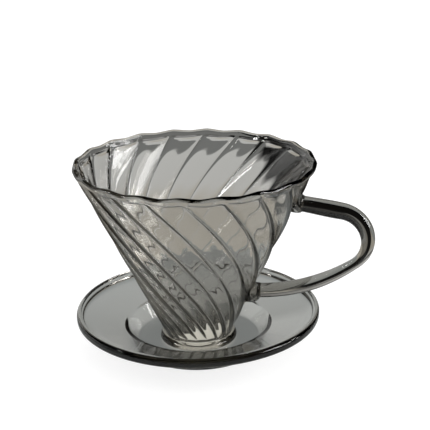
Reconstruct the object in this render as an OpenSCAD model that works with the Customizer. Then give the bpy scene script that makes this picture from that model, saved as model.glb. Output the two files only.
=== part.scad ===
// Glass pour-over dripper: a swirl-fluted cone fused to a saucer flange.
// Frame: origin on the cone's axis at the underside of the base, +Z up,
// +X towards the handle. Millimetres.

/* [Cone] */
// Outer diameter of the polished lip
rim_d = 116; // [114:0.5:118]
// Height of the lip's highest points above the base
rim_h = 94.4; // [93:0.1:95]
// Angle between the cone's wall and its axis
half_angle = 25.5; // [25.3:0.1:25.8]
// Glass thickness near the rim
wall = 2.6; // [2.2:0.1:3]
// Glass thickness where the cone meets the outlet
wall_low = 4.2; // [3.6:0.1:4.6]

/* [Flutes] */
// Number of flutes round the cone
flutes = 20; // [16:1:22]
// Depth of a flute between its ridges
flute_depth = 1.3; // [0.8:0.1:1.6]
// Share of that depth that shows again on the inside
inner_share = 0.8; // [0.6:0.05:0.9]
// Height of the plain band between the flutes' tops and the rounding of the lip
band = 2.9; // [2:0.1:4]
// Rise of the lip at each ridge above the lip between them
lip_wave = 0.9; // [0:0.1:1.2]
// Turn of a ridge from rim to outlet if it kept its angle at the rim
swirl = 78; // [60:1:90]
// Extra turn gathered towards the outlet
swirl_gather = 19; // [0:1:24]
// Direction of one ridge at the rim, from +X
ridge_phase = 8; // [0:1:17]

/* [Outlet] */
// Diameter of the outlet hole
outlet_d = 21.2; // [19:0.1:22]
// Outer diameter of the outlet tube where it passes through the saucer
tube_d = 29.2; // [28:0.1:30]
// Height of the joint between tube and cone
joint_h = 7; // [6.6:0.1:7.4]
// Outer diameter of the seal ring round the tube
collar_d = 38; // [36:0.5:40]

/* [Saucer] */
// Outer diameter of the saucer
saucer_d = 120; // [116:1:124]
// Thickness of the upright bead at the saucer's edge
bead_w = 3.2; // [2.8:0.1:3.6]
// Height of the bead, from top to bottom
bead_t = 4.4; // [4:0.1:4.8]
// Height of the bead's centre above the base
bead_h = 17.4; // [16:0.1:18]
// Radius of the well, at the middle of its wall's top
well_r = 35.6; // [35:0.1:37]
// Height of the well's top, at the middle of its wall
well_h = 10.8; // [10:0.1:11.5]
// Radius of the flat base
base_r = 31.3; // [30:0.1:32]
// Thickness of the well's floor
floor_t = 3.6; // [3.2:0.1:3.8]
// Thickness of the dished flange
flange_t = 2.7; // [2.4:0.1:3]

/* [Handle] */
// Height of the rod's axis at its upper start, inside the wall
rod_start_h = 77.3; // [77:0.1:77.6]
// Diameter of the rod by distance along its axis, as it was drawn out and bent
rod_d_along = [[0, 7.5], [10, 7.6], [22, 8.2], [42, 7.2], [60, 5.1], [82, 6.7], [112, 7.2]];
// Diameter of the upper weld
upper_weld_d = 9.6; // [9.2:0.1:10.4]
// Diameter of the lower weld
lower_weld_d = 10; // [9:0.1:10.6]

/* [Hidden] */
$fn = 96;

smoke = [0.47, 0.47, 0.46, 0.55];
smoke_dark = [0.36, 0.36, 0.35, 0.6];

// Cone wall: the ridges lie on a plain cone, and the lip stands a little proud of it
lip_r = 1.3;
lip_flare = 0.6;
lip_h = rim_h - lip_r;
band_low = lip_h - band;
// Height over which a flute's top steps out to the band, and the share of depth left in the band
band_step = 1.3;
band_keep = 0.14;
// Height that the swirl is measured over, down from the lip
swirl_h = 87;
// Height over which the flutes run out at the foot, and the lip's wave and flare at the top
fade_h = 11;
wave_h = 7;

// Points round one flute, and rows up the flutes, outside and inside, before those of the band
flute_steps = 8;
outer_rows = 18;
inner_rows = 11;
band_rows = 3;
lip_rows = 3;
around = flutes * flute_steps;

// The rod's route in the XZ plane: a straight run, then arcs that all turn downwards.
// Each arc is its radius, and its heading from +X where it starts and ends.
rod_start_x = 44;
rod_run = 26.9;
rod_turns = [[14.3, -7.8, -142], [87.6, -142, -153.5], [83, -153.5, -183]];
rod_sides = 24;
rod_step = 3;

function wall_r(z) = rim_d / 2 - lip_flare / 2 - (lip_h - z) * tan(half_angle);
function swirl_at(z) = let(u = (lip_h - z) / swirl_h) swirl * u + swirl_gather * pow(u, 4);
// 0 on a ridge and 1 along the middle of a flute, for step i round the cone
function hollow(i) = let(s = 2 * (i % flute_steps) / flute_steps - 1) 1 - s * s;
// The flutes run out to points just above the outlet joint, and stop short at the band
function smooth(t) = t * t * (3 - 2 * t);
function band_share(z) = 1 - (1 - band_keep) * smooth(min(1, max(0, (z - band_low) / band_step)));
function depth_at(z) = flute_depth * band_share(z) * min(1, max(0, (z - joint_h) / fade_h));
function thick_at(z) = wall_low + (wall - wall_low) * min(1, (z - joint_h) / 30);
function lip_lift(i, z) = lip_wave * (0.5 - hollow(i)) * max(0, 1 - (lip_h - z) / wave_h);
function flare_at(z) = lip_flare * pow(max(0, 1 - (lip_h - z) / wave_h), 2);
function outer_r(i, z) = wall_r(z) + flare_at(z) / 2 - depth_at(z) * hollow(i);
function inner_r(i, z) = wall_r(z) + flare_at(z) / 2 - thick_at(z) - inner_share * depth_at(z) * hollow(i);
function on_cone(i, r, z) =
    let(a = ridge_phase + 360 * i / around + swirl_at(z)) [r * cos(a), r * sin(a), z + lip_lift(i, z)];

// Height of row k, for that many rows of flutes and then the rows of the band
function row_h(k, rows) = k <= rows ? joint_h + (band_low - joint_h) * k / rows
    : k == rows + band_rows ? lip_h : band_low + band_step * (k - rows) / (band_rows - 1);
function outer_ring(k) = [for (i = [0 : around - 1])
    on_cone(i, outer_r(i, row_h(k, outer_rows)), row_h(k, outer_rows))];
function inner_ring(k) = [for (i = [0 : around - 1])
    on_cone(i, inner_r(i, row_h(k, inner_rows)), row_h(k, inner_rows))];
// The lip is a half round over the top of the wall
function lip_ring(j) = let(t = 180 * j / (lip_rows + 1)) [for (i = [0 : around - 1])
    let(ro = outer_r(i, lip_h), ri = inner_r(i, lip_h), mid = (ro + ri) / 2, p = on_cone(i, 1, lip_h),
        r = mid + (ro - ri) / 2 * cos(t))
    [r * p[0], r * p[1], p[2] + lip_r * sin(t)]];

// Joins closed rings of equal length into one tube-like skin whose last ring meets its first
module ring_solid(rings) {
    n = len(rings[0]);
    m = len(rings);
    points = [for (ring = rings) each ring];
    faces = [for (k = [0 : m - 1]) for (i = [0 : n - 1])
        let(a = k * n + i, b = k * n + (i + 1) % n, c = ((k + 1) % m) * n + (i + 1) % n,
            d = ((k + 1) % m) * n + i)
        each [[a, b, c], [a, c, d]]];
    polyhedron(points = points, faces = [for (f = faces) [f[2], f[1], f[0]]]);
}

// A block of the cone's outer skin, filled in as far as core_r, that seats a weld on the wall
core_r = 8;
module wall_block(i0, i1, k0, k1) {
    cols = i1 - i0 + 1;
    rows = k1 - k0 + 1;
    skin = [for (k = [k0 : k1]) for (i = [i0 : i1]) let(z = row_h(k, outer_rows), j = i + 2 * around)
        on_cone(j, outer_r(j, z), z)];
    core = [for (k = [k0 : k1]) for (i = [i0 : i1]) let(z = row_h(k, outer_rows), j = i + 2 * around)
        on_cone(j, core_r, z)];
    s = cols * rows;
    sheet = [for (r = [0 : rows - 2]) for (c = [0 : cols - 2])
        let(a = r * cols + c) each [[a, a + 1, a + cols + 1], [a, a + cols + 1, a + cols]]];
    low = [for (c = [0 : cols - 2]) each [[c + 1, c, s + c], [c + 1, s + c, s + c + 1]]];
    top0 = (rows - 1) * cols;
    high = [for (c = [0 : cols - 2]) let(a = top0 + c) each [[a, a + 1, s + a + 1], [a, s + a + 1, s + a]]];
    first = [for (r = [0 : rows - 2]) let(a = r * cols) each [[a, a + cols, s + a + cols], [a, s + a + cols, s + a]]];
    last = [for (r = [0 : rows - 2]) let(a = r * cols + cols - 1)
        each [[a + cols, a, s + a], [a + cols, s + a, s + a + cols]]];
    back = [for (f = sheet) [f[2] + s, f[1] + s, f[0] + s]];
    all = concat(sheet, back, low, high, first, last);
    polyhedron(points = concat(skin, core), faces = [for (f = all) [f[2], f[1], f[0]]]);
}

// Column of the skin nearest to a direction, in degrees from +X, at height z
function col_at(deg, z) = round((deg - ridge_phase - swirl_at(z)) * around / 360);
module wall_near(z, half_span, rows_each_way) {
    k = round((z - joint_h) / (band_low - joint_h) * outer_rows);
    wall_block(col_at(-half_span, z), col_at(half_span, z),
               max(0, k - rows_each_way), min(outer_rows, k + rows_each_way));
}

// A straight stretch of saucer section between two round ends
module limb(a, b, ra, rb) {
    d = b - a;
    n = [-d[1], d[0]] / norm(d);
    translate(a) circle(r = ra);
    translate(b) circle(r = rb);
    polygon([a + ra * n, a - ra * n, b - rb * n, b + rb * n]);
}

// The outlet tube's section: a plain bore, with its top flared out to the cone's end
flare_in_h = 1.5;
flare_out_h = 2.5;
cone_end_out = wall_r(joint_h);
cone_end_in = cone_end_out - wall_low;
module tube_section() {
    polygon([[outlet_d / 2, 0], [tube_d / 2, 0], [tube_d / 2, joint_h - flare_out_h],
             [cone_end_out, joint_h], [cone_end_in, joint_h], [outlet_d / 2, joint_h - flare_in_h]]);
}

// Radius of the collar's rounded outside
collar_r = 2.2;
module collar_section() {
    collar_mid = collar_d / 2 - collar_r;
    difference() {
        union() {
            translate([collar_mid, floor_t + 0.8]) circle(r = collar_r);
            translate([tube_d / 2, floor_t]) square([collar_mid - tube_d / 2, collar_r + 0.6]);
        }
        translate([0, floor_t - 2 * collar_r]) square([collar_d, 2 * collar_r]);
        tube_section();
    }
}

module saucer_section() {
    base_edge = floor_t / 2;
    translate([tube_d / 2, 0]) square([base_r - tube_d / 2, floor_t]);
    limb([base_r, base_edge], [well_r, well_h], base_edge, 1.5);
    bead_r = saucer_d / 2 - bead_w / 2;
    bead_up = (bead_t - bead_w) / 2;
    limb([well_r, well_h], [bead_r, bead_h - bead_up + 0.3], 1.5, flange_t / 2);
    limb([bead_r, bead_h - bead_up], [bead_r, bead_h + bead_up], bead_w / 2, bead_w / 2);
}

// A heading is the rod's direction in the XZ plane. Each station of the rod is
// [x, z, heading, distance along the axis].
function run_end() = [rod_start_x, rod_start_h] + rod_run * [cos(rod_turns[0][1]), sin(rod_turns[0][1])];
function turn_centre(p, t) = p + t[0] * [sin(t[1]), -cos(t[1])];
function on_turn(p, t, h) = turn_centre(p, t) + t[0] * [-sin(h), cos(h)];
function turn_start(n) = n == 0 ? run_end() : on_turn(turn_start(n - 1), rod_turns[n - 1], rod_turns[n - 1][2]);
function turn_length(t, h) = t[0] * (t[1] - h) * PI / 180;
function along_at(n) = n == 0 ? rod_run : along_at(n - 1) + turn_length(rod_turns[n - 1], rod_turns[n - 1][2]);
function steps_in(length) = max(1, ceil(length / rod_step));
function run_stations() = let(h = rod_turns[0][1], n = steps_in(rod_run))
    [for (j = [0 : n - 1]) let(d = rod_run * j / n) [rod_start_x + d * cos(h), rod_start_h + d * sin(h), h, d]];
function turn_stations(n) = let(t = rod_turns[n], p = turn_start(n), m = steps_in(turn_length(t, t[2])))
    [for (j = [(n == 0 ? 0 : 1) : m]) let(h = t[1] + (t[2] - t[1]) * j / m, q = on_turn(p, t, h))
        [q[0], q[1], h, along_at(n) + turn_length(t, h)]];
function stations() = concat(run_stations(), [for (n = [0 : len(rod_turns) - 1]) each turn_stations(n)]);
module rod() {
    route = stations();
    n = rod_sides;
    last = len(route) - 1;
    points = [for (q = route) let(r = lookup(q[3], rod_d_along) / 2) for (i = [0 : n - 1]) let(a = 360 * i / n)
        [q[0] - r * cos(a) * sin(q[2]), r * sin(a), q[1] + r * cos(a) * cos(q[2])]];
    sides = [for (k = [0 : last - 1]) for (i = [0 : n - 1])
        let(a = k * n + i, b = k * n + (i + 1) % n)
        each [[a, b, b + n], [a, b + n, a + n]]];
    ends = [[for (i = [0 : n - 1]) n - 1 - i], [for (i = [0 : n - 1]) last * n + i]];
    polyhedron(points = points, faces = concat(sides, ends));
}

// Heights of the welds, and how far their centres stand out from the wall
upper_h = rod_start_h - 0.7;
lower_h = 28.8;
weld_proud = 0.2;

module cone() {
    color(smoke) ring_solid(concat(
        [for (k = [0 : outer_rows + band_rows]) outer_ring(k)],
        [for (j = [1 : lip_rows]) lip_ring(j)],
        [for (k = [0 : inner_rows + band_rows]) inner_ring(inner_rows + band_rows - k)]));
}
module outlet_tube() {
    color(smoke) rotate_extrude() tube_section();
}
module outlet_collar() {
    color(smoke_dark) rotate_extrude() collar_section();
}
module saucer() {
    color(smoke) rotate_extrude() saucer_section();
}
module handle() {
    color(smoke_dark) difference() {
        rod();
        wall_near(upper_h, 14, 2);
        wall_near(lower_h, 26, 2);
    }
}
module upper_handle_weld() {
    color(smoke_dark) difference() {
        translate([wall_r(upper_h) + weld_proud, 0, upper_h]) sphere(d = upper_weld_d);
        wall_near(upper_h, 14, 2);
        rod();
    }
}
module lower_handle_weld() {
    color(smoke_dark) difference() {
        translate([wall_r(lower_h) + weld_proud, 0, lower_h]) sphere(d = lower_weld_d);
        wall_near(lower_h, 26, 2);
        rod();
    }
}

cone();
outlet_tube();
outlet_collar();
saucer();
handle();
upper_handle_weld();
lower_handle_weld();
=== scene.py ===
"""Looks of a smoke-tinted glass pour-over dripper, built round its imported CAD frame.

Lengths named in millimetres repeat the part's own; Blender's unit is the metre.
"""
import math

import bpy
import numpy as np
from mathutils import Matrix, Vector


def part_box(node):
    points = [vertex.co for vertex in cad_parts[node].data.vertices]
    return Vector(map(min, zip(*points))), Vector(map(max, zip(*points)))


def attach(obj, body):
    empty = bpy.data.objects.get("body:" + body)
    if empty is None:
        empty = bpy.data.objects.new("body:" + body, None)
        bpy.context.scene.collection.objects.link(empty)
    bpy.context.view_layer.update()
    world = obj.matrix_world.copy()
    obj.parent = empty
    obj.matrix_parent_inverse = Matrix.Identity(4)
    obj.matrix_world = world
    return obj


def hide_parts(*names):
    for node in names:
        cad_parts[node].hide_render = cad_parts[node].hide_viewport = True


MM = 0.001
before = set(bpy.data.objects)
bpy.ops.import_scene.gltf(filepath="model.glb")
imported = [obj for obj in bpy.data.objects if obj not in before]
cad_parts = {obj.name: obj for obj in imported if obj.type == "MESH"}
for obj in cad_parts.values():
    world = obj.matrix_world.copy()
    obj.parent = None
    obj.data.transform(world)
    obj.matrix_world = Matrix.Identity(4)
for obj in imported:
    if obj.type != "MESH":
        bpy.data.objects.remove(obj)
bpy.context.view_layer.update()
cone_low, cone_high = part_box("cone")
_, saucer_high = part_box("saucer")
# Draws the spread of the flutes' depths, with a fixed seed so that every run gives the same cone
rng = np.random.default_rng(11)

# ---------------------------------------------------------------- driving sizes, mm
LIP_D = 116.0
LIP_ROUND = 1.3
LIP_FLARE = 0.6
LIP_WAVE = 0.9
LIP_TOP = cone_high.z / MM - LIP_WAVE / 2
LIP_H = LIP_TOP - LIP_ROUND
HALF_ANGLE = math.radians(25.5)
WALL = 2.6
WALL_LOW = 4.2
FLUTES = 20
FLUTE_DEPTH = 1.3
SWIRL = math.radians(78)
SWIRL_GATHER = math.radians(19)
SWIRL_H = 87.0
RIDGE_PHASE = math.radians(8)
JOINT_H = cone_low.z / MM
FADE_H = 11.0
WAVE_H = 7.0
BAND_H = 2.9
BAND_STEP = 1.3
BAND_KEEP = 0.14
OUTLET_R = 10.6
TUBE_R = 14.6
COLLAR_OUT_R = 19.0
COLLAR_ROUND = 2.2
SAUCER_R = saucer_high.x / MM
BEAD_R = 1.6
BEAD_TOP_H = saucer_high.z / MM - BEAD_R
BEAD_LOW_H = BEAD_TOP_H - 1.2
WELL_R = 35.6
WELL_H = 10.8
BASE_R = 31.3
FLOOR_T = 3.6
FLANGE_T = 2.7
WELL_T = 2.8
# Fused pieces lap by this much, with parallel faces, so that light passes as through one glass
LAP = 0.08
# Share of a flute's depth that shows again on the cone's inside
INNER_SHARE = 0.8
# Height above the joint over which the wall thins from WALL_LOW to WALL
WALL_TAPER_H = 30.0
# Rounding of a ridge, then breadth of the flute's middle (2 is a parabola): outside, inside, along the lip
OUTER_FLUTE = (0.03, 2.8)
INNER_FLUTE = (0.12, 2.6)
LIP_FLUTE = (0.3, 2.0)
# Spread of the flutes' depths, as a share of FLUTE_DEPTH
DEPTH_SPREAD = 0.10


# ---------------------------------------------------------------- mesh tools
def outward(verts, faces):
    """The closed mesh's faces, all turned round if they faced inwards.

    Glass that is inside out bends light the wrong way.
    """
    volume = sum(np.dot(verts[f[0]], np.cross(verts[f[k]], verts[f[k + 1]]))
                 for f in faces for k in range(1, len(f) - 1))
    return faces if volume > 0 else [f[::-1] for f in faces]


def new_object(name, verts, faces, material, slot, *nodes):
    verts = np.asarray(verts)
    mesh = bpy.data.meshes.new(name)
    mesh.from_pydata([tuple(v) for v in verts * MM], [], outward(verts, faces))
    mesh.validate()
    mesh.polygons.foreach_set("use_smooth", [True] * len(mesh.polygons))
    mesh.materials.append(material)
    mesh.update()
    piece = bpy.data.objects.new(name, mesh)
    bpy.context.scene.collection.objects.link(piece)
    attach(piece, "root")
    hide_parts(*nodes)
    return piece


def loop_faces(rows, cols, close_rows):
    """Quads between rings of cols points; the last ring meets the first where close_rows."""
    faces = []
    for k in range(rows if close_rows else rows - 1):
        a, b = k * cols, ((k + 1) % rows) * cols
        faces += [(a + i, a + (i + 1) % cols, b + (i + 1) % cols, b + i) for i in range(cols)]
    return faces


def ring_piece(name, rings, material, slot, *nodes):
    """A closed solid like a bent washer, from rings that go once round its section."""
    rings = np.asarray(rings)
    rows, cols, _ = rings.shape
    return new_object(name, rings.reshape(-1, 3), loop_faces(rows, cols, True), material, slot, *nodes)


def arc(centre, radius, start_deg, end_deg, steps=10):
    angles = np.radians(np.linspace(start_deg, end_deg, steps + 1))
    return [(centre[0] + radius * math.cos(a), centre[1] + radius * math.sin(a)) for a in angles]


def blend(start, through, end, steps=8):
    """A curve from start to end, without its last point, that leaves towards through and arrives from it."""
    a, b, c = (np.array(tuple(p)) for p in (start, through, end))
    return [tuple((1 - t) ** 2 * a + 2 * t * (1 - t) * b + t * t * c) for t in np.arange(steps) / steps]


def resampled(points, spacing):
    """The closed outline through points, with extra points wherever two lie further apart."""
    out = []
    for a, b in zip(points, points[1:] + points[:1]):
        steps = max(1, math.ceil(math.dist(a, b) / spacing))
        out += [(a[0] + (b[0] - a[0]) * k / steps, a[1] + (b[1] - a[1]) * k / steps) for k in range(steps)]
    return out


def turned(name, outline, around, material, slot, node, shape=None):
    """A solid of revolution from a closed (radius, height) outline, anticlockwise in the r-z plane."""
    angle = np.linspace(0, 2 * math.pi, around, endpoint=False)
    rings = []
    for r, z in outline:
        radius, height = np.full(around, r), np.full(around, z)
        if shape:
            radius, height = shape(radius, height, angle)
        rings.append(np.stack([radius * np.cos(angle), radius * np.sin(angle), height], -1))
    return ring_piece(name, rings, material, slot, node)


# ---------------------------------------------------------------- node tools
# A Mix node's sockets for colours
MIX_FACTOR, MIX_FIRST, MIX_SECOND, MIX_RESULT = 0, 6, 7, 2


def fresh_nodes(owner):
    """The nodes and links of a material or world, emptied."""
    owner.use_nodes = True
    nodes, links = owner.node_tree.nodes, owner.node_tree.links
    nodes.clear()
    return nodes, links


def vector_math(nodes, links, operation, source, fixed=None):
    node = nodes.new("ShaderNodeVectorMath")
    node.operation = operation
    links.new(source, node.inputs[0])
    if fixed is not None:
        node.inputs[1].default_value = fixed
    return node


def number_math(nodes, links, operation, source, *fixed):
    node = nodes.new("ShaderNodeMath")
    node.operation = operation
    links.new(source, node.inputs[0])
    for k, value in enumerate(fixed):
        node.inputs[k + 1].default_value = value
    return node.outputs[0]


def along(nodes, links, source, axis):
    """How far source lies along axis."""
    return vector_math(nodes, links, "DOT_PRODUCT", source, axis).outputs["Value"]


def ramp(nodes, links, stops, source):
    """The colour that stops, as (place, colour), give for source."""
    node = nodes.new("ShaderNodeValToRGB")
    elements = node.color_ramp.elements
    for k, (place, colour) in enumerate(stops):
        # a new ramp already has two stops
        stop = elements[k] if k < 2 else elements.new(place)
        stop.position = place
        stop.color = (*colour, 1)
    links.new(source, node.inputs["Fac"])
    return node.outputs["Color"]


def switched(nodes, links, switch, first, second):
    """The second colour where switch is 1, and the first where it is 0."""
    mix = nodes.new("ShaderNodeMix")
    mix.data_type = "RGBA"
    for source, socket in ((switch, MIX_FACTOR), (first, MIX_FIRST), (second, MIX_SECOND)):
        links.new(source, mix.inputs[socket])
    return mix.outputs[MIX_RESULT]


def multiplied(nodes, links, first, second):
    mix = nodes.new("ShaderNodeMix")
    mix.data_type = "RGBA"
    mix.blend_type = "MULTIPLY"
    mix.inputs[MIX_FACTOR].default_value = 1
    links.new(first, mix.inputs[MIX_FIRST])
    links.new(second, mix.inputs[MIX_SECOND])
    return mix.outputs[MIX_RESULT]


def ray_switch(nodes, links, out, direct, through):
    """Camera and diffuse rays meet the first shader, and rays that glass bends or mirrors the second."""
    path = nodes.new("ShaderNodeLightPath")
    either = nodes.new("ShaderNodeMath")
    either.operation = "MAXIMUM"
    links.new(path.outputs["Is Transmission Ray"], either.inputs[0])
    links.new(path.outputs["Is Glossy Ray"], either.inputs[1])
    mix = nodes.new("ShaderNodeMixShader")
    links.new(either.outputs[0], mix.inputs["Fac"])
    links.new(direct, mix.inputs[1])
    links.new(through, mix.inputs[2])
    links.new(mix.outputs[0], out.inputs["Surface"])


# ---------------------------------------------------------------- glass
GLASS_IOR = 1.48
GLASS_ROUGHNESS = 0.006


def glass(name, through, wobble_scale, wobble):
    """Smoke-tinted glass. through is the share of red, green and blue light that 2.6 mm lets pass."""
    material = bpy.data.materials.new(name)
    nodes, links = fresh_nodes(material)
    out = nodes.new("ShaderNodeOutputMaterial")
    shader = nodes.new("ShaderNodeBsdfPrincipled")
    shader.inputs["Base Color"].default_value = (1, 1, 1, 1)
    shader.inputs["Transmission Weight"].default_value = 1
    shader.inputs["IOR"].default_value = GLASS_IOR
    shader.inputs["Roughness"].default_value = GLASS_ROUGHNESS
    links.new(shader.outputs["BSDF"], out.inputs["Surface"])
    # Hand-worked glass is never quite flat; wobble is the waves' height in mm
    place = nodes.new("ShaderNodeTexCoord")
    waves = nodes.new("ShaderNodeTexNoise")
    waves.inputs["Scale"].default_value = wobble_scale
    waves.inputs["Detail"].default_value = 1.5
    waves.inputs["Roughness"].default_value = 0.4
    links.new(place.outputs["Object"], waves.inputs["Vector"])
    bump = nodes.new("ShaderNodeBump")
    bump.inputs["Strength"].default_value = 1.0
    bump.inputs["Distance"].default_value = wobble * MM
    links.new(waves.outputs["Fac"], bump.inputs["Height"])
    links.new(bump.outputs["Normal"], shader.inputs["Normal"])
    # the density is a little over the strongest loss, so that no part of the colour reaches 0
    loss = [-math.log(t) / (WALL * MM) for t in through]
    density = max(loss) * 1.05
    absorb = nodes.new("ShaderNodeVolumeAbsorption")
    absorb.inputs["Color"].default_value = (*[1 - k / density for k in loss], 1)
    absorb.inputs["Density"].default_value = density
    links.new(absorb.outputs["Volume"], out.inputs["Volume"])
    return material


SMOKE = (0.775, 0.765, 0.745)
cone_glass = glass("cone_glass", SMOKE, 40, 0.015)
tube_glass = glass("tube_glass", (0.92, 0.915, 0.90), 120, 0.02)
saucer_glass = glass("saucer_glass", (0.83, 0.822, 0.805), 45, 0.05)
rod_glass = glass("rod_glass", SMOKE, 140, 0.03)
weld_glass = glass("weld_glass", SMOKE, 220, 0.05)


# ---------------------------------------------------------------- cone
def wall_r(z):
    return LIP_D / 2 - LIP_FLARE / 2 - (LIP_H - z) * np.tan(HALF_ANGLE)


def swirl_at(z):
    u = (LIP_H - z) / SWIRL_H
    return SWIRL * u + SWIRL_GATHER * u**4


def hollow(s, soft, flat):
    """0 on a ridge (s is -1 or 1) and 1 along a flute's middle.

    soft rounds the ridge, and flat widens the middle.
    """
    away = np.sqrt((1 - np.abs(s)) ** 2 + soft**2) - soft
    return 1 - np.clip(1 - away, 0, 1) ** flat


def depth_at(z):
    return FLUTE_DEPTH * np.clip((z - JOINT_H) / FADE_H, 0, 1)


def thick_at(z):
    return WALL_LOW + (WALL - WALL_LOW) * np.clip((z - JOINT_H) / WALL_TAPER_H, 0, 1)


def near_lip(z):
    return np.clip(1 - (LIP_H - z) / WAVE_H, 0, 1)


def band_at(z):
    """1 where the flutes run, and near 0 in the plain band that carries the lip."""
    t = np.clip((z - (LIP_H - BAND_H)) / BAND_STEP, 0, 1)
    return 1 - (1 - BAND_KEEP) * t * t * (3 - 2 * t)


def outer_r(s, z, deep=1.0):
    drop = depth_at(z) * band_at(z) * deep * hollow(s, *OUTER_FLUTE)
    return wall_r(z) + LIP_FLARE / 2 * near_lip(z) ** 2 - drop


def inner_r(s, z, deep=1.0):
    drop = INNER_SHARE * depth_at(z) * band_at(z) * deep * hollow(s, *INNER_FLUTE)
    return wall_r(z) + LIP_FLARE / 2 * near_lip(z) ** 2 - thick_at(z) - drop


def build_cone():
    per_flute, outer_rows, inner_rows, band_rows, lip_rows = 26, 96, 64, 12, 9
    q = np.arange(per_flute) / per_flute
    s = np.tile(-np.cos(math.pi * q), FLUTES)
    flute = np.repeat(np.arange(FLUTES), per_flute)
    pitch = 2 * math.pi / FLUTES
    deep = 1 + DEPTH_SPREAD * rng.standard_normal(FLUTES)[flute]
    angle0 = RIDGE_PHASE + pitch * (flute + (s + 1) / 2)

    def ring(radius, z, height):
        angle = angle0 + swirl_at(z)
        lift = LIP_WAVE * (0.5 - hollow(s, *LIP_FLUTE)) * near_lip(z)
        return np.stack([radius * np.cos(angle), radius * np.sin(angle), height + lift], -1)

    rings = []
    fluted = np.linspace(JOINT_H, LIP_H - BAND_H, outer_rows)
    band = np.linspace(LIP_H - BAND_H, LIP_H, band_rows + 1)[1:]
    for z in [*fluted, *band]:
        rings.append(ring(outer_r(s, z, deep), z, z))
    out, inn = outer_r(s, LIP_H, deep), inner_r(s, LIP_H, deep)
    for t in np.linspace(0, math.pi, lip_rows + 2)[1:-1]:
        radius = (out + inn) / 2 + (out - inn) / 2 * math.cos(t)
        rings.append(ring(radius, LIP_H, LIP_H + LIP_ROUND * math.sin(t)))
    for z in [*band[::-1], *np.linspace(LIP_H - BAND_H, JOINT_H, inner_rows)]:
        rings.append(ring(inner_r(s, z, deep), z, z))
    ring_piece("cone_shell", rings, cone_glass, "cone_glass", "cone")


# ---------------------------------------------------------------- outlet, saucer
def build_tube():
    end_out = wall_r(JOINT_H)
    end_in = end_out - WALL_LOW
    top = JOINT_H + LAP
    outline = (
        arc((OUTLET_R + 0.8, 0.8), 0.8, 180, 270)
        + [(TUBE_R + LAP, 0), (TUBE_R + LAP, JOINT_H - 2.5), (end_out, JOINT_H - 0.3), (end_out, top)]
        + [(end_in, top), (end_in, JOINT_H - 0.3), (OUTLET_R, JOINT_H - 1.5)]
    )
    turned("outlet_tube_glass", resampled(outline, 0.4), 192, tube_glass, "tube_glass", "outlet_tube")


def build_collar():
    mid = COLLAR_OUT_R - COLLAR_ROUND
    centre = (mid, FLOOR_T + 0.8)
    foot = math.degrees(math.asin((0.8 + LAP) / COLLAR_ROUND))
    outline = [(TUBE_R, FLOOR_T - LAP)] + arc(centre, COLLAR_ROUND, -foot, 110, 18) + [(TUBE_R, FLOOR_T + 2.4)]
    turned("outlet_collar_ring", resampled(outline, 0.35), 192, weld_glass, "weld_glass", "outlet_collar")


def build_saucer():
    base_edge = FLOOR_T / 2
    bead_r = SAUCER_R - BEAD_R
    wall_dir = Vector((WELL_R - BASE_R, WELL_H - base_edge)).normalized()
    wall_deg = math.degrees(math.atan2(wall_dir.y, wall_dir.x))
    flange_dir = Vector((bead_r - WELL_R, BEAD_LOW_H + 0.3 - WELL_H)).normalized()
    flange_deg = math.degrees(math.atan2(flange_dir.y, flange_dir.x))
    flange_up = Vector((-flange_dir.y, flange_dir.x)) * (FLANGE_T / 2)
    wall_in = Vector((-wall_dir.y, wall_dir.x)) * (WELL_T / 2)
    outline = [(TUBE_R, FLOOR_T), (TUBE_R, 0)]
    outline += arc((BASE_R, base_edge), base_edge, -90, wall_deg - 90, 8)
    # underside: out of the well, under the flange, round the edge bead and back over the top
    outline += arc((WELL_R + 2.3, WELL_H - 2.6), 1.4, wall_deg + 90, flange_deg + 90, 8)
    edge_in = Vector((bead_r, BEAD_LOW_H + 0.3))
    low_arc = arc((bead_r, BEAD_LOW_H), BEAD_R, -105, 0, 12)
    top_arc = arc((bead_r, BEAD_TOP_H), BEAD_R, 0, 105, 14)
    # fillets where the flange meets the bead, longer above than below
    near_bead = edge_in - flange_dir * 1.8
    outline += blend(edge_in - flange_dir * 5.0 - flange_up, near_bead - flange_up, low_arc[0])
    outline += low_arc + top_arc
    outline += blend(top_arc[-1], near_bead + flange_up, edge_in - flange_dir * 7.0 + flange_up)
    outline += arc((WELL_R + 0.9, WELL_H - 0.7), 2.2, flange_deg + 90, wall_deg + 90, 10)
    foot = Vector((BASE_R, base_edge)) + wall_in + wall_dir * 1.6
    outline += arc((foot.x - 1.3, FLOOR_T + 1.2), 1.2, wall_deg - 90, -90, 8)

    def warp(r, z, angle):
        """A slight unevenness of the flange, growing towards its edge."""
        edge = np.clip((r - WELL_R) / (SAUCER_R - WELL_R), 0, 1)
        return r, z + 0.14 * edge * np.cos(2 * angle + 0.9) + 0.06 * edge * np.sin(5 * angle)

    turned("saucer_dish", resampled(outline, 0.55), 288, saucer_glass, "saucer_glass", "saucer", warp)


# ---------------------------------------------------------------- handle
ROD_START = (44.0, 77.3)
ROD_RUN = 26.9
ROD_TURNS = ((14.3, -7.8, -142), (87.6, -142, -153.5), (83.0, -153.5, -183))
# Distance along the rod and its diameter there, as it was drawn out and bent
ROD_D_ALONG = ((0, 7.5), (10, 7.6), (22, 8.2), (42, 7.2), (60, 5.1), (82, 6.7), (112, 7.2))


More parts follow.
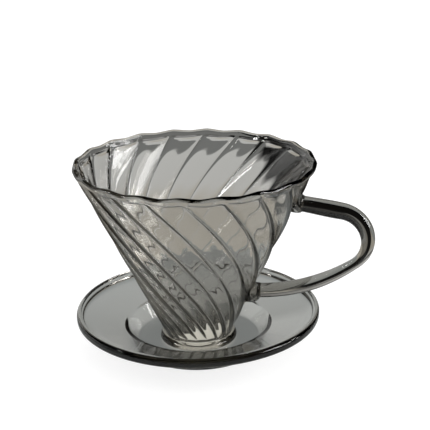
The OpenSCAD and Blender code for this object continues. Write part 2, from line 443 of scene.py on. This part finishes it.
def rod_stations(step):
    """Points (x, z, heading, radius) along the rod, at most step apart."""
    x, z = ROD_START
    heading = math.radians(ROD_TURNS[0][1])
    route = []
    steps = math.ceil(ROD_RUN / step)
    for k in range(steps):
        d = ROD_RUN * k / steps
        route.append((x + d * math.cos(heading), z + d * math.sin(heading), heading, d))
    x, z = x + ROD_RUN * math.cos(heading), z + ROD_RUN * math.sin(heading)
    gone = ROD_RUN
    for radius, first, last in ROD_TURNS:
        first, last = math.radians(first), math.radians(last)
        cx, cz = x + radius * math.sin(first), z - radius * math.cos(first)
        steps = math.ceil(radius * (first - last) / step)
        # only the last turn keeps its end point, since each next turn starts on the one before
        for k in range(steps + (radius == ROD_TURNS[-1][0])):
            h = first + (last - first) * k / steps
            d = gone + radius * (first - h)
            route.append((cx - radius * math.sin(h), cz + radius * math.cos(h), h, d))
        x, z = cx - radius * math.sin(last), cz + radius * math.cos(last)
        gone += radius * (first - last)
    places, diameters = zip(*ROD_D_ALONG)
    radii = np.interp([d for *_, d in route], places, diameters) / 2
    # the rod thickens and thins smoothly, with no corners where the table above has them
    window = np.hanning(9) / np.hanning(9).sum()
    radii = np.convolve(np.pad(radii, window.size // 2, "edge"), window, "valid")
    return [(x, z, h, r) for (x, z, h, _), r in zip(route, radii)]


def skin_r(x, y, z):
    """Radius of the cone's outer skin in the direction and at the height of a point."""
    angle = (np.arctan2(y, x) - RIDGE_PHASE - swirl_at(z)) * FLUTES / (2 * math.pi)
    s = 2 * (angle - np.floor(angle)) - 1
    return outer_r(s, z)


def to_skin(point, direction, inset):
    """Slides point along direction until it lies inset below the cone's outer skin."""
    p, d = np.array(point, float), np.array(direction, float)
    # each step closes most of what is left; a slant of the rod to the wall is held to a usable size
    for _ in range(12):
        gap = math.hypot(p[0], p[1]) - (skin_r(*p) - inset)
        p = p - d * gap / max(0.35, d[0])
    return p


def build_rod():
    around = 48
    stations = rod_stations(1.2)
    stations = [(x, z, h, r) for x, z, h, r in stations if x > skin_r(x, 0, z) + 1.0]
    turn = np.linspace(0, 2 * math.pi, around, endpoint=False)

    def ring(x, z, h, r):
        across, up = r * np.sin(turn), r * np.cos(turn)
        return np.stack([x - up * math.sin(h), across, z + up * math.cos(h)], -1)

    rings = [ring(*station) for station in stations]
    # both ends follow the cone's skin, as melted glass does
    ends = []
    for x, z, h, r in (stations[0], stations[-1]):
        # outwards along the rod, away from the wall
        d = np.array([abs(math.cos(h)), 0, math.sin(h) * (1 if math.cos(h) > 0 else -1)])
        disc = [[to_skin(p, d, LAP) for p in ring(x, z, h, r * k)] for k in (1, 0.85, 0.6, 0.3)]
        ends.append((disc, to_skin((x, 0, z), d, LAP)))
    rows = [*ends[0][0][::-1], *rings, *ends[1][0]]
    verts = np.concatenate([np.reshape(rows, (-1, 3)), [ends[0][1], ends[1][1]]])
    faces = loop_faces(len(rows), around, False)
    first, last = len(verts) - 2, len(verts) - 1
    top = (len(rows) - 1) * around
    faces += [(first, (i + 1) % around, i) for i in range(around)]
    faces += [(last, top + i, top + (i + 1) % around) for i in range(around)]
    new_object("handle_rod", verts, faces, rod_glass, "rod_glass", "handle")


def build_weld(name, node, height, heading, reach, rod_r, flare, sag=0):
    """The gather of glass round one end of the rod: a flared ring whose foot follows the cone's skin."""
    around = 72
    x0 = float(skin_r(wall_r(height), 0, height))
    d = np.array([math.cos(heading), 0, math.sin(heading)])
    up = np.array([-d[2], 0, d[0]])
    side = np.array([0, 1.0, 0])
    turn = np.linspace(0, 2 * math.pi, around, endpoint=False)

    def ring(along, radius):
        centre = np.array([x0, 0, height]) + d * along
        radius = np.broadcast_to(radius, around)[:, None]
        return centre + radius * (np.cos(turn)[:, None] * up + np.sin(turn)[:, None] * side)

    # the foot reaches flare from the rod's axis, and by sag more under the rod than over it
    foot_r = flare - sag * np.cos(turn)
    rows = []
    steps = 14
    for k in range(steps + 1):
        t = k / steps
        # quarter of a soft bead from the rod's surface out to the wall
        quarter = t * math.pi / 2
        radius = rod_r + 0.02 + (foot_r - rod_r) * math.sin(quarter) ** 1.2
        rows.append(ring(reach * math.cos(quarter) ** 1.1, radius))
    foot = [to_skin(p, d, LAP) for p in rows[-1]]
    inner_foot = [to_skin(p, d, LAP) for p in ring(0, rod_r - LAP)]
    rows = rows[:-1] + [foot, inner_foot, ring(reach * 0.5, rod_r - LAP), ring(reach, rod_r - LAP)]
    ring_piece(name, rows[::-1], weld_glass, "weld_glass", node)


# ---------------------------------------------------------------- camera and studio
CAMERA_AZIMUTH = math.radians(15)
CAMERA_AWAY = 492.2 * MM
CAMERA_HEIGHT = 242.8 * MM
CAMERA_PITCH = math.radians(19.674)
CAMERA_YAW = math.radians(1.079)
CAMERA_ROLL = math.radians(-1.1)
LENS = 90.67

forward = Vector((-math.sin(CAMERA_AZIMUTH), math.cos(CAMERA_AZIMUTH), 0))
right = Vector((math.cos(CAMERA_AZIMUTH), math.sin(CAMERA_AZIMUTH), 0))
# Turns what is placed as (right, forward, up) of the picture's heading into the part's frame
RIG = Matrix((right, forward, Vector((0, 0, 1)))).transposed()
SENSOR_WIDTH = 36


def add_camera():
    camera = bpy.data.objects.new("camera", bpy.data.cameras.new("camera"))
    bpy.context.scene.collection.objects.link(camera)
    look = RIG @ Vector((math.sin(CAMERA_YAW) * math.cos(CAMERA_PITCH),
                         math.cos(CAMERA_YAW) * math.cos(CAMERA_PITCH), -math.sin(CAMERA_PITCH)))
    across = RIG @ Vector((math.cos(CAMERA_YAW), -math.sin(CAMERA_YAW), 0))
    above = across.cross(look)
    c, s = math.cos(CAMERA_ROLL), math.sin(CAMERA_ROLL)
    x_axis, y_axis = c * across + s * above, c * above - s * across
    pose = Matrix((x_axis, y_axis, -look)).transposed().to_4x4()
    pose.translation = RIG @ Vector((0, -CAMERA_AWAY, CAMERA_HEIGHT))
    camera.matrix_world = pose
    camera.data.lens = LENS
    camera.data.sensor_width = SENSOR_WIDTH
    camera.data.clip_start = 0.01
    bpy.context.scene.camera = camera


# Lamps that the glass sees and the camera doesn't: name, place in the rig's frame, size and radiance
SOFTBOXES = (
    ("right_window", (0.9, -0.24, 0.42), (0.56, 0.40), 5.5),
    ("right_strip", (0.9, 0.12, 0.36), (0.06, 0.40), 9.0),
    ("right_lamp", (0.86, -0.12, 0.66), (0.16, 0.26), 10.0),
    ("left_lamp", (-0.86, -0.12, 0.66), (0.08, 0.26), 18.0),
)
SOFTBOX_AIM = Vector((0, 0, 0.05))


def add_softbox(name, place, size, radiance):
    light = bpy.data.lights.new(name, "AREA")
    light.shape = "RECTANGLE"
    light.size, light.size_y = size
    light.energy = radiance * math.pi * size[0] * size[1]
    lamp = bpy.data.objects.new(name, light)
    bpy.context.scene.collection.objects.link(lamp)
    lamp.location = RIG @ Vector(place)
    lamp.rotation_mode = "QUATERNION"
    lamp.rotation_quaternion = (SOFTBOX_AIM - lamp.location).to_track_quat("-Z", "Y")
    lamp.visible_camera = False


# What glass sees of the floor, glowing, as distance from the outlet in metres and colour: painted light
# gathered by the outlet, painted shadow under the saucer's base, a cool grey table that darkens beyond
# 78 mm, a warm surface beyond its edge, and a dim room beyond that
FLOOR_ZONES = (
    (0.0000, (0.82, 0.81, 0.74)), (0.0150, (0.82, 0.81, 0.74)), (0.0165, (0.30, 0.32, 0.32)),
    (0.0320, (0.32, 0.34, 0.34)), (0.0360, (0.495, 0.51, 0.50)), (0.0780, (0.50, 0.52, 0.515)),
    (0.0900, (0.40, 0.425, 0.425)), (0.1030, (0.37, 0.395, 0.395)), (0.1040, (0.33, 0.35, 0.345)),
    (0.1240, (0.33, 0.35, 0.345)), (0.1245, (0.51, 0.485, 0.43)),
    (0.2100, (0.49, 0.47, 0.42)), (0.2500, (0.56, 0.56, 0.545)), (0.3280, (0.57, 0.575, 0.56)),
    (0.3330, (0.20, 0.205, 0.20)), (0.8000, (0.15, 0.15, 0.145)),
)
# Painted shade on the floor behind the dripper: where it turns dark and then half light again, in metres
# to the right of its axis, and how far behind the axis that starts
PAINTED_SHADE_SIDE = (
    (0.051, (1, 1, 1)), (0.058, (0.02, 0.02, 0.02)),
    (0.112, (0.02, 0.02, 0.02)), (0.120, (0.5, 0.5, 0.5)),
)
PAINTED_SHADE_BEHIND = 0.070
# The floor on the near side of the dripper: the painted light and painted shadow round the outlet and base,
# then the table runs on evenly, then into the dark
FRONT_ZONES = FLOOR_ZONES[:4] + (
    (0.0360, (0.495, 0.51, 0.50)), (0.1150, (0.60, 0.61, 0.60)), (0.1350, (0.04, 0.04, 0.04)),
)
# The room as glass sees it: from the left (0) to the right (1), from the near side (0) to the far
# side (1), and from the horizon (0) to straight up (1)
WORLD_SIDES = ((0.0, (0.90, 0.90, 0.89)), (0.40, (0.60, 0.60, 0.59)), (0.50, (0.35, 0.35, 0.345)),
               (0.56, (0.01, 0.01, 0.01)), (1.0, (0.01, 0.01, 0.01)))
WORLD_DEPTHS = ((0.0, (0.03, 0.03, 0.03)), (0.35, (0.03, 0.03, 0.03)), (0.45, (1, 1, 1)))
WORLD_HEIGHTS = ((0.0, (1, 1, 1)), (0.30, (0.9, 0.9, 0.9)),
                 (0.40, (0.03, 0.03, 0.03)), (1.0, (0.03, 0.03, 0.03)))
# Half the floor's width in metres, and how far it lies under the base so that the two don't meet
FLOOR_HALF = 3.0
FLOOR_GAP = 0.0002
# The painted shade card's radius, lowest and highest point in mm, and its reach to each side
CARD_R, CARD_LOW, CARD_HIGH = 34, 29.5, 35.5
CARD_HALF_TURN = math.radians(62)


def build_floor():
    """A floor that is plain and pale to the camera, and that glass sees glowing in the zones above, with their
    painted light and shade.
    """
    h = FLOOR_HALF
    mesh = bpy.data.meshes.new("floor")
    mesh.from_pydata([(-h, -h, 0), (h, -h, 0), (h, h, 0), (-h, h, 0)], [], [(0, 1, 2, 3)])
    floor = bpy.data.objects.new("floor", mesh)
    floor.location.z = -FLOOR_GAP
    bpy.context.scene.collection.objects.link(floor)
    material = bpy.data.materials.new("floor")
    nodes, links = fresh_nodes(material)
    out = nodes.new("ShaderNodeOutputMaterial")
    pale = nodes.new("ShaderNodeBsdfDiffuse")
    pale.inputs["Color"].default_value = (0.3, 0.3, 0.3, 1)
    glow = nodes.new("ShaderNodeEmission")
    glow.inputs["Color"].default_value = (0.8, 0.8, 0.8, 1)
    lit = nodes.new("ShaderNodeAddShader")
    links.new(pale.outputs[0], lit.inputs[0])
    links.new(glow.outputs[0], lit.inputs[1])
    position = nodes.new("ShaderNodeNewGeometry").outputs["Position"]
    flat = vector_math(nodes, links, "MULTIPLY", position, (1, 1, 0)).outputs["Vector"]
    away = vector_math(nodes, links, "LENGTH", flat).outputs["Value"]
    behind = along(nodes, links, position, forward)
    # painted light under the outlet and painted shadow under the base, glowing, for glass only
    zones = ramp(nodes, links, FLOOR_ZONES, away)
    painted_shade = ramp(nodes, links, PAINTED_SHADE_SIDE, along(nodes, links, position, right))
    # far behind the dripper the floor takes the painted shade to its right
    is_far = number_math(nodes, links, "GREATER_THAN", behind, PAINTED_SHADE_BEHIND)
    is_near = number_math(nodes, links, "LESS_THAN", behind, 0)
    back = switched(nodes, links, is_far, zones, multiplied(nodes, links, zones, painted_shade))
    seen = nodes.new("ShaderNodeEmission")
    front = ramp(nodes, links, FRONT_ZONES, away)
    links.new(switched(nodes, links, is_near, back, front), seen.inputs["Color"])
    ray_switch(nodes, links, out, lit.outputs[0], seen.outputs[0])
    mesh.materials.append(material)


def build_world():
    """The room: plain white seen directly.

    Glass sees it pale on the left, and dark on the right, on the near side and high up.
    """
    world = bpy.data.worlds.new("studio")
    bpy.context.scene.world = world
    nodes, links = fresh_nodes(world)
    out = nodes.new("ShaderNodeOutputWorld")
    white = nodes.new("ShaderNodeBackground")
    white.inputs["Color"].default_value = (1, 1, 1, 1)
    direction = nodes.new("ShaderNodeTexCoord").outputs["Generated"]

    def share(axis):
        """-1 to 1 along axis, as 0 to 1."""
        return number_math(nodes, links, "MULTIPLY_ADD", along(nodes, links, direction, axis), 0.5, 0.5)

    sides = ramp(nodes, links, WORLD_SIDES, share(right))
    depths = ramp(nodes, links, WORLD_DEPTHS, share(forward))
    heights = ramp(nodes, links, WORLD_HEIGHTS, along(nodes, links, direction, (0, 0, 1)))
    room = nodes.new("ShaderNodeBackground")
    seen = multiplied(nodes, links, multiplied(nodes, links, sides, depths), heights)
    links.new(seen, room.inputs["Color"])
    ray_switch(nodes, links, out, white.outputs[0], room.outputs[0])


def build_painted_shade_card():
    """A narrow grey card close behind the cone, glowing and seen only through glass: painted shade, the crisp
    edge of the shadow that the dripper casts on the table.
    """
    steps = 40
    verts = []
    for k in range(steps + 1):
        a = CARD_HALF_TURN * (2 * k / steps - 1)
        spot = (right * math.sin(a) + forward * math.cos(a)) * CARD_R
        verts += [Vector((spot.x, spot.y, CARD_LOW)) * MM, Vector((spot.x, spot.y, CARD_HIGH)) * MM]
    faces = [(2 * k, 2 * k + 2, 2 * k + 3, 2 * k + 1) for k in range(steps)]
    mesh = bpy.data.meshes.new("painted_shade_card")
    mesh.from_pydata(verts, [], faces)
    card = bpy.data.objects.new("painted_shade_card", mesh)
    bpy.context.scene.collection.objects.link(card)
    card.visible_camera = card.visible_diffuse = card.visible_shadow = False
    card.visible_glossy = card.visible_volume_scatter = False
    material = bpy.data.materials.new("painted_shade_card")
    nodes, links = fresh_nodes(material)
    # the card's painted shade, as a dim grey glow
    grey = nodes.new("ShaderNodeEmission")
    grey.inputs["Color"].default_value = (0.27, 0.28, 0.275, 1)
    out = nodes.new("ShaderNodeOutputMaterial")
    links.new(grey.outputs[0], out.inputs["Surface"])
    mesh.materials.append(material)


add_camera()
build_cone()
build_tube()
build_collar()
build_saucer()
build_rod()
# Each weld: height on the wall, heading out of it, reach along the rod, rod's radius, foot's radius
build_weld("upper_weld", "upper_handle_weld", 76.5, math.radians(-7.8), 3.6, 3.79, 4.8)
build_weld("lower_weld", "lower_handle_weld", 30.15, math.radians(2.0), 4.4, 3.6, 5.05, 1.2)
build_floor()
build_world()
build_painted_shade_card()
for softbox in SOFTBOXES:
    add_softbox(*softbox)

scene = bpy.context.scene
scene.view_settings.view_transform = "Standard"
scene.cycles.max_bounces = 32
scene.cycles.transmission_bounces = 32
scene.cycles.transparent_max_bounces = 32
scene.cycles.glossy_bounces = 16
scene.cycles.diffuse_bounces = 3
